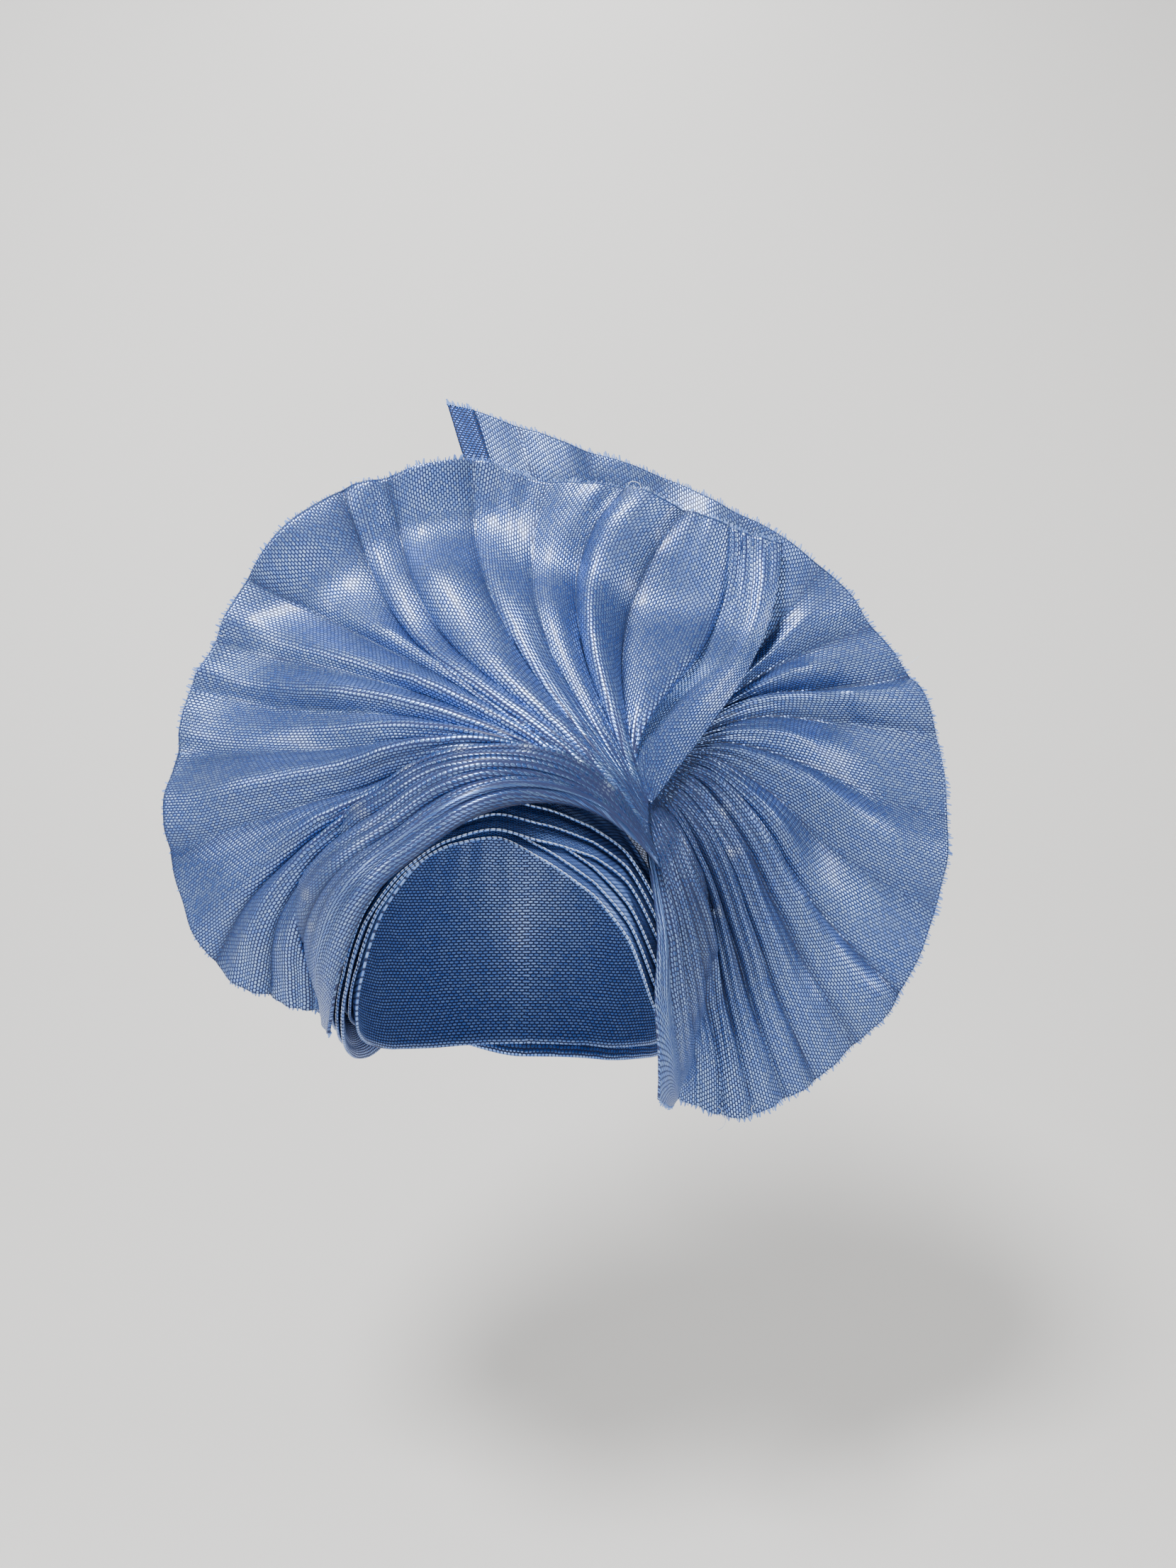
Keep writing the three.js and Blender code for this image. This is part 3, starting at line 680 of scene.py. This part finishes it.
def wrapFace(index):
    azimuth = np.linspace(-180, 180, meshDetail["wrapStations"] + 1)
    v = np.linspace(0, 1, meshDetail["wrapRows"] + 1)
    aa, vv = np.meshgrid(azimuth, v, indexing="ij")
    low = between(wrapEdges[index], rowAt(wrapAzimuths, aa), True)
    share = low + (np.minimum(1, low + wrapWidth) - low) * vv
    finish = wrapFinish
    around = np.radians(aa)
    stepAt = finish["stepAt"] + np.sin(3 * around + index) * finish["wave"]
    relief = finish["bead"] * np.exp(-(vv / finish["beadReach"]) ** 2)
    relief -= finish["step"] * ease((vv - stepAt) / finish["stepOver"]) * ease((1 - vv) * 4)
    wrinkle = np.sin(5 * around + 9 * vv + 2 * np.sin(2 * around + index))
    relief += finish["wrinkle"] * wrinkle * ease(vv * 5)
    lift = wrapLift(index) + clothLayers["wrap"] + relief
    return onHead(aa, bandHeight(aa, share), lift)


def headSide(point):
    h = headShape
    return point - point.__class__((0, h["centreY"] * mm, h["centreZ"] * mm))


def plainUv(face):
    across, up = runAlong(face, 0), runAlong(face, 1)
    across = np.repeat(across.mean(1)[:, None], face.shape[1], 1)
    return across, np.repeat(up.mean(0)[None], face.shape[0], 0)


def makeWrap(index):
    face = wrapFace(index)
    name = f"bandWrap{index + 1}"
    piece = sheetMesh(name, face[:-1], [plainUv(face)], len(face) - 1, {}, ringed=True)
    turnOut(piece, headSide)
    thicken(piece, clothLayers["wrap"])
    piece.data.materials.append(bandCloth)
    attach(piece, "root")
    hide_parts(f"band_wrap_{index + 1}")
    return face


wrapFaces = [makeWrap(index) for index in range(len(wrapEdges))]
print("wraps made")

# the cap over the crown, gathered towards its top, in mm
capFinish = {"pleats": 30, "pleatHeight": 0.9, "fadeFrom": 0.45, "closeTop": 0.02}


def makeCap():
    azimuth = np.linspace(-180, 180, meshDetail["wrapStations"] + 1)
    v = np.linspace(0, 1, meshDetail["capRows"] + 1)
    aa, vv = np.meshgrid(azimuth, v, indexing="ij")
    h = headShape
    hem = bandHeight(aa, 0) + clothLayers["capHem"]
    fall = np.arccos(np.clip((hem - h["centreZ"]) / h["halfHeight"], -1, 1))
    around = np.radians(aa) * capFinish["pleats"] / 2 + 0.5 * np.sin(3 * np.radians(aa))
    fade = ease(vv * 3) * (1 - ease((vv - capFinish["fadeFrom"]) * 4))
    pleat = capFinish["pleatHeight"] * np.abs(np.sin(around)) * fade
    height = h["centreZ"] + h["halfHeight"] * np.cos(fall * vv)
    face = onHead(aa, height, h["ease"] + clothLayers["cap"] + pleat)
    piece = sheetMesh("crownCap", face[:-1], [plainUv(face)], len(face) - 1, {}, ringed=True)
    close = piece.modifiers.new("pole", "WELD")
    close.merge_threshold = capFinish["closeTop"] * mm
    bpy.context.view_layer.objects.active = piece
    bpy.ops.object.modifier_apply(modifier=close.name)
    turnOut(piece, headSide)
    thicken(piece, clothLayers["cap"])
    piece.data.materials.append(capCloth)
    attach(piece, "root")
    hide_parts("crown_cap")


makeCap()
print("cap made")


# turned hems along the fans' free ends: width, lift and wall in mm, and where each starts
hemShape = {
    "leafHem": {"width": fanShape["leafHem"], "start": fanShape["leafHemStart"],
                "lift": clothLayers["hemGap"] + clothLayers["hem"], "wall": clothLayers["hem"]},
    "endHem": {"width": 10, "start": 0.12, "lift": 0.9, "wall": 0.8},
    "steps": 6, "mostFolds": 3, "mostShare": 0.7,
}


def edgeStrip(side, width, rowsFrom, lift):  # a strip along the free end that side starts from
    shape = hemShape
    normal = gridNormals(side)
    span = shape["mostFolds"] * meshDetail["foldColumns"]
    gone = runAlong(side[:span], 0)
    strip = []
    for share in np.linspace(0, 1, shape["steps"] + 1):
        line = []
        for j in range(rowsFrom, side.shape[1]):
            at = min(share * width, shape["mostShare"] * gone[-1, j])
            k = np.interp(at, gone[:, j], np.arange(len(gone)))
            i = int(min(k, len(gone) - 2))
            t = k - i
            p = side[i, j] * (1 - t) + side[i + 1, j] * t
            line.append(p + normal[i, j] * lift)
        strip.append(line)
    return np.array(strip)


def makeHem(name, side, material, cadNode=None):
    shape = hemShape[name]
    width = shape["width"]
    strip = edgeStrip(side, width, int(shape["start"] * meshDetail["fanRows"]), shape["lift"])
    piece = sheetMesh(name, strip, [plainUv(strip)], len(strip) - 1, {})
    turnOut(piece, toFront)
    thicken(piece, shape["wall"])
    piece.data.materials.append(material)
    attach(piece, "root")
    if cadNode:
        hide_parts(cadNode)
    return strip


leafStrip = makeHem("leafHem", rearFace, hemCloth, "leaf_hem")
makeHem("endHem", frontFace[::-1], endCloth)
print("hems made")

# loose thread ends along the raw edges, and the pale thread along each wrap's edge, in metres
frayLook = {
    "length": 0.0027, "thickness": 0.0006, "tip": 0.00028, "spacing": 0.0019, "spread": 0.35,
    "shortest": 0.45, "longest": 1.25, "rooted": 0.0005,
}
selvedgeLook = {"spacing": 0.0024, "length": 0.0021, "thickness": 0.00042}
threadDye = {"Scale": 700, "Detail": 2, "Patch Share": 1, "Slub Share": 0}


def threadMaterial(name, colours, rough):
    material = bpy.data.materials.new(name)
    material.use_nodes = True
    tree = material.node_tree
    skin = tree.nodes["Principled BSDF"]
    paleness = unevenDye(tree, threadDye)
    tree.links.new(mixed(tree, (-250, 0), paleness, *colours), skin.inputs["Base Color"])
    skin.inputs["Roughness"].default_value = rough
    return material


frayThread = threadMaterial("frayThread", ((0.008, 0.05, 0.28), (0.28, 0.46, 0.90)), 0.5)
selvedgeThread = threadMaterial("selvedgeThread", ((0.38, 0.48, 0.72), (0.80, 0.86, 0.95)), 0.4)


def setInput(piece, modifier, name, value):
    for item in modifier.node_group.interface.items_tree:
        if item.item_type == "SOCKET" and item.in_out == "INPUT" and item.name == name:
            modifier[item.identifier] = value


def threadTree(name, lengths):  # takes a path, named lengths and the thread's material
    tree = bpy.data.node_groups.new(name, "GeometryNodeTree")
    face = tree.interface
    face.new_socket("Geometry", in_out="INPUT", socket_type="NodeSocketGeometry")
    for length in lengths:
        face.new_socket(length, in_out="INPUT", socket_type="NodeSocketFloat")
    face.new_socket("Thread", in_out="INPUT", socket_type="NodeSocketMaterial")
    face.new_socket("Geometry", in_out="OUTPUT", socket_type="NodeSocketGeometry")
    return tree


def finishThreads(tree, shape, start, end):
    real = node(tree, "GeometryNodeRealizeInstances", (450, 0))
    tree.links.new(shape, real.inputs[0])
    paint = node(tree, "GeometryNodeSetMaterial", (650, 0))
    tree.links.new(real.outputs[0], paint.inputs["Geometry"])
    tree.links.new(start.outputs["Thread"], paint.inputs["Material"])
    tree.links.new(paint.outputs[0], end.inputs[0])


def frayTree():
    tree = threadTree("frayedEdge", ("Thread Length", "Thread Thickness", "Spread"))
    tree.interface.new_socket("Seed", in_out="INPUT", socket_type="NodeSocketInt")
    link = tree.links.new
    start = node(tree, "NodeGroupInput", (-800, 0))
    end = node(tree, "NodeGroupOutput", (900, 0))
    thread = node(tree, "GeometryNodeMeshCone", (-300, 300))
    thread.inputs["Vertices"].default_value = 5
    link(start.outputs["Thread Length"], thread.inputs["Depth"])
    link(start.outputs["Thread Thickness"], thread.inputs["Radius Bottom"])
    thread.inputs["Radius Top"].default_value = frayLook["tip"]
    way = node(tree, "GeometryNodeInputNamedAttribute", (-600, -100), data_type="FLOAT_VECTOR")
    way.inputs["Name"].default_value = "threadWay"
    aim = node(tree, "FunctionNodeAlignRotationToVector", (-350, -100), axis="Z")
    link(way.outputs["Attribute"], aim.inputs["Vector"])
    swing = node(tree, "FunctionNodeRandomValue", (-600, -350), data_type="FLOAT_VECTOR")
    low = node(tree, "ShaderNodeVectorMath", (-750, -350), operation="SCALE")
    low.inputs[0].default_value = (-1, -1, -1)
    high = node(tree, "ShaderNodeVectorMath", (-750, -500), operation="SCALE")
    high.inputs[0].default_value = (1, 1, 1)
    link(start.outputs["Spread"], low.inputs["Scale"])
    link(start.outputs["Spread"], high.inputs["Scale"])
    link(low.outputs[0], swing.inputs[0])
    link(high.outputs[0], swing.inputs[1])
    link(start.outputs["Seed"], swing.inputs["Seed"])
    turn = node(tree, "FunctionNodeEulerToRotation", (-350, -350))
    link(swing.outputs[0], turn.inputs[0])
    both = node(tree, "FunctionNodeRotateRotation", (-100, -150), rotation_space="LOCAL")
    link(aim.outputs[0], both.inputs[0])
    link(turn.outputs[0], both.inputs[1])
    size = node(tree, "FunctionNodeRandomValue", (-100, -400), data_type="FLOAT")
    size.inputs[2].default_value = frayLook["shortest"]
    size.inputs[3].default_value = frayLook["longest"]
    link(start.outputs["Seed"], size.inputs["Seed"])
    place = node(tree, "GeometryNodeInstanceOnPoints", (200, 0))
    link(start.outputs["Geometry"], place.inputs["Points"])
    link(thread.outputs["Mesh"], place.inputs["Instance"])
    link(both.outputs[0], place.inputs["Rotation"])
    link(size.outputs[1], place.inputs["Scale"])
    finishThreads(tree, place.outputs[0], start, end)
    return tree


def selvedgeTree():
    tree = threadTree("selvedgeStitches", ("Spacing", "Stitch Length", "Stitch Thickness"))
    link = tree.links.new
    start = node(tree, "NodeGroupInput", (-900, 0))
    end = node(tree, "NodeGroupOutput", (900, 0))
    curve = node(tree, "GeometryNodeMeshToCurve", (-650, 0))
    link(start.outputs["Geometry"], curve.inputs[0])
    points = node(tree, "GeometryNodeCurveToPoints", (-400, 0), mode="LENGTH")
    link(curve.outputs[0], points.inputs[0])
    link(start.outputs["Spacing"], points.inputs["Length"])
    stitch = node(tree, "GeometryNodeMeshUVSphere", (-400, 300))
    stitch.inputs["Segments"].default_value = 6
    stitch.inputs["Rings"].default_value = 4
    stitch.inputs["Radius"].default_value = 0.5
    shape = node(tree, "ShaderNodeCombineXYZ", (-400, -300))
    link(start.outputs["Stitch Thickness"], shape.inputs["X"])
    link(start.outputs["Stitch Thickness"], shape.inputs["Y"])
    link(start.outputs["Stitch Length"], shape.inputs["Z"])
    place = node(tree, "GeometryNodeInstanceOnPoints", (0, 0))
    link(points.outputs["Points"], place.inputs["Points"])
    link(points.outputs["Rotation"], place.inputs["Rotation"])
    link(stitch.outputs["Mesh"], place.inputs["Instance"])
    link(shape.outputs[0], place.inputs["Scale"])
    finishThreads(tree, place.outputs[0], start, end)
    return tree


def strandTree():
    tree = threadTree("looseStrands", ("Strand Radius",))
    link = tree.links.new
    start = node(tree, "NodeGroupInput", (-600, 0))
    end = node(tree, "NodeGroupOutput", (900, 0))
    curve = node(tree, "GeometryNodeMeshToCurve", (-400, 0))
    link(start.outputs["Geometry"], curve.inputs[0])
    ring = node(tree, "GeometryNodeCurvePrimitiveCircle", (-400, 250))
    ring.inputs["Resolution"].default_value = 6
    link(start.outputs["Strand Radius"], ring.inputs["Radius"])
    tube = node(tree, "GeometryNodeCurveToMesh", (-100, 0))
    tube.inputs["Fill Caps"].default_value = True
    link(curve.outputs[0], tube.inputs["Curve"])
    link(ring.outputs[0], tube.inputs["Profile Curve"])
    finishThreads(tree, tube.outputs[0], start, end)
    return tree


frayNodes = frayTree()
selvedgeNodes = selvedgeTree()
strandNodes = strandTree()


def grow(name, mesh, tree, inputs):  # run a tree on a mesh and keep the plain result
    seedPiece = bpy.data.objects.new(name + "Path", mesh)
    bpy.context.collection.objects.link(seedPiece)
    modifier = seedPiece.modifiers.new("grow", "NODES")
    modifier.node_group = tree
    for key, value in inputs.items():
        setInput(seedPiece, modifier, key, value)
    bpy.context.view_layer.update()
    depsgraph = bpy.context.evaluated_depsgraph_get()
    result = bpy.data.meshes.new_from_object(seedPiece.evaluated_get(depsgraph))
    piece = bpy.data.objects.new(name, result)
    bpy.context.collection.objects.link(piece)
    bpy.data.objects.remove(seedPiece)
    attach(piece, "root")


def spaced(line, gap):  # points at even gaps along a line, in mm
    gone = runAlong(line, 0)
    at = np.arange(0, gone[-1], gap)
    return np.stack([np.interp(at, gone, line[:, c]) for c in range(line.shape[1])], 1)


def frayAlong(name, edge, inner, seed):  # edge and the line just inside it, in mm
    both = spaced(np.concatenate([edge, inner], 1), frayLook["spacing"] / mm)
    rim, inside = both[:, :3], both[:, 3:]
    way = rim - inside
    way /= np.linalg.norm(way, axis=1, keepdims=True)
    mesh = bpy.data.meshes.new(name)
    mesh.from_pydata([tuple(p) for p in rim * mm - way * frayLook["rooted"]], [], [])
    attribute = mesh.attributes.new("threadWay", "FLOAT_VECTOR", "POINT")
    attribute.data.foreach_set("vector", way.astype(np.float32).ravel())
    grow(name, mesh, frayNodes, {
        "Thread Length": frayLook["length"], "Thread Thickness": frayLook["thickness"],
        "Spread": frayLook["spread"], "Seed": seed, "Thread": frayThread})


def stitchesAlong(name, lines):
    points, edges = [], []
    for line, closed in lines:
        first = len(points)
        points += [tuple(p * mm) for p in line]
        edges += [(k, k + 1) for k in range(first, len(points) - 1)]
        if closed:
            edges.append((len(points) - 1, first))
    mesh = bpy.data.meshes.new(name)
    mesh.from_pydata(points, edges, [])
    grow(name, mesh, selvedgeNodes, {
        "Spacing": selvedgeLook["spacing"], "Stitch Length": selvedgeLook["length"],
        "Stitch Thickness": selvedgeLook["thickness"], "Thread": selvedgeThread})


halfWall = np.array([0, clothLayers["fan"] / 2, 0])
frayAlong("frontRimThreads", frontFace[:, -1] + halfWall, frontFace[:, -4] + halfWall, 3)
frayAlong("rearRimThreads", rearFace[:, -1] + halfWall, rearFace[:, -4] + halfWall, 4)
frayAlong("leafHemThreads", leafStrip[:, -1], leafStrip[:, -4], 5)

# pulled threads, in mm
strandLook = {
    "radius": 0.13, "length": 11, "points": 24, "setBack": 0.6, "bend": 0.28, "wobble": 0.12, "lean": 0.6,
}


def looseStrands(name, rims, seed):  # a few pulled threads that curl off the rims
    look = strandLook
    own = np.random.default_rng(seed)
    stride = look["length"] / look["points"]
    points, edges = [], []
    for rim, inside, share in rims:
        k = int(share * (len(rim) - 1))
        way = rim[k] - inside[k]
        way = way / np.linalg.norm(way)
        side = np.cross(way, (0, 1, 0))
        bend = own.uniform(-look["bend"], look["bend"])
        angle = own.uniform(-look["lean"], look["lean"])
        p = rim[k] - way + np.array([0, look["setBack"], 0])
        first = len(points)
        for step in range(look["points"]):
            points.append(tuple(p * mm))
            angle += bend + own.uniform(-look["wobble"], look["wobble"])
            p = p + (way * math.cos(angle) + side * math.sin(angle)) * stride
        edges += [(i, i + 1) for i in range(first, len(points) - 1)]
    mesh = bpy.data.meshes.new(name)
    mesh.from_pydata(points, edges, [])
    grow(name, mesh, strandNodes, {"Strand Radius": look["radius"] * mm, "Thread": selvedgeThread})


frontRim = (frontFace[:, -1], frontFace[:, -5])
rearRim = (rearFace[:, -1], rearFace[:, -5])
looseStrands("looseStrands", [
    (*frontRim, 0.43), (*frontRim, 0.56), (*frontRim, 0.78), (*rearRim, 0.36), (*rearRim, 0.47),
    (*rearRim, 0.78), (*rearRim, 0.84), (*rearRim, 0.86)], 9)
stitchesAlong("wrapSelvedges", [(wrapFaces[i][:-1, 0], True) for i in range(len(wrapEdges))])
print("threads made")

# floor, backdrop, lights and camera, in metres and watts
studio = {
    "floor": -0.34, "back": 0.62, "bend": 0.35, "bendSteps": 12, "width": 4.0, "front": -2.2, "top": 2.4,
    "paint": (0.74, 0.73, 0.71), "air": (0.93, 0.95, 1), "airLight": 0.08, "airSeen": 0.5,
    "camera": (0.034, -0.555, 0.105), "lens": 27.05,
}

# where each light stands, where it points, its size and its power
lamps = {
    "keyLight": ((-0.35, -0.85, 1.15), (0.02, 0, 0.12), 0.36, 41),
    "leftLight": ((-1.15, -0.6, 0.40), (0.0, 0, 0.1), 0.4, 8),
    "rightLight": ((1.25, -0.55, 0.30), (0.05, 0, 0.1), 0.4, 10),
    "fillLight": ((0.7, -1.0, 1.0), (0.02, 0, 0.1), 0.5, 2.5),
    "lowLight": ((0.05, -0.95, -0.16), (0.04, -0.06, 0.08), 0.4, 2.5),
    "backLight": ((0.0, 0.5, 1.15), (0.0, 0.1, 0.1), 0.5, 3),
}


def backdropPaint():  # seen from behind, the backdrop lets the view through
    paint = bpy.data.materials.new("backdropPaint")
    paint.use_nodes = True
    tree = paint.node_tree
    skin = tree.nodes["Principled BSDF"]
    skin.inputs["Base Color"].default_value = (*studio["paint"], 1)
    skin.inputs["Roughness"].default_value = 0.9
    through = node(tree, "ShaderNodeBsdfTransparent", (0, -200))
    face = node(tree, "ShaderNodeNewGeometry", (0, 300))
    either = node(tree, "ShaderNodeMixShader", (300, 100))
    tree.links.new(face.outputs["Backfacing"], either.inputs[0])
    tree.links.new(skin.outputs[0], either.inputs[1])
    tree.links.new(through.outputs[0], either.inputs[2])
    tree.links.new(either.outputs[0], tree.nodes["Material Output"].inputs["Surface"])
    return paint


def seamlessBackdrop():
    s = studio
    profile = [(s["front"], s["floor"])]
    for angle in np.linspace(0, math.pi / 2, s["bendSteps"] + 1):
        y = s["back"] - s["bend"] + s["bend"] * math.sin(angle)
        profile.append((y, s["floor"] + s["bend"] * (1 - math.cos(angle))))
    profile.append((s["back"], s["top"]))
    mesh = bpy.data.meshes.new("backdrop")
    points = [(x, y, z) for y, z in profile for x in (-s["width"], s["width"])]
    faces = [(2 * k, 2 * k + 1, 2 * k + 3, 2 * k + 2) for k in range(len(profile) - 1)]
    mesh.from_pydata(points, [], faces)
    mesh.polygons.foreach_set("use_smooth", [True] * len(faces))
    drop = bpy.data.objects.new("backdrop", mesh)
    bpy.context.collection.objects.link(drop)
    mesh.materials.append(backdropPaint())


def areaLight(name, place, aim, size, power):
    data = bpy.data.lights.new(name, "AREA")
    data.shape = "DISK"
    data.size = size
    data.energy = power
    lamp = bpy.data.objects.new(name, data)
    lamp.location = place
    lamp.rotation_euler = (Vector(aim) - Vector(place)).to_track_quat("-Z", "Y").to_euler()
    bpy.context.collection.objects.link(lamp)


def studioAir():  # dim as a light, pale where the view looks past the backdrop
    world = bpy.data.worlds.new("studioAir")
    world.use_nodes = True
    tree = world.node_tree
    air = tree.nodes["Background"]
    air.inputs["Color"].default_value = (*studio["air"], 1)
    sight = node(tree, "ShaderNodeLightPath", (-500, 0))
    seen = sight.outputs["Is Camera Ray"]
    glow = maths(tree, "MULTIPLY_ADD", (-250, 0), seen, studio["airSeen"], studio["airLight"])
    tree.links.new(glow, air.inputs["Strength"])
    return world


seamlessBackdrop()
for name, (place, aim, size, power) in lamps.items():
    areaLight(name, place, aim, size, power)
bpy.context.scene.world = studioAir()

cameraData = bpy.data.cameras.new("photoCamera")
cameraData.lens = studio["lens"]
cameraData.sensor_width = 36
cameraData.sensor_fit = "AUTO"
cameraData.clip_start = 0.01
camera = bpy.data.objects.new("photoCamera", cameraData)
camera.location = studio["camera"]
camera.rotation_euler = (math.pi / 2, 0, 0)
bpy.context.collection.objects.link(camera)
bpy.context.scene.camera = camera
print("studio made")
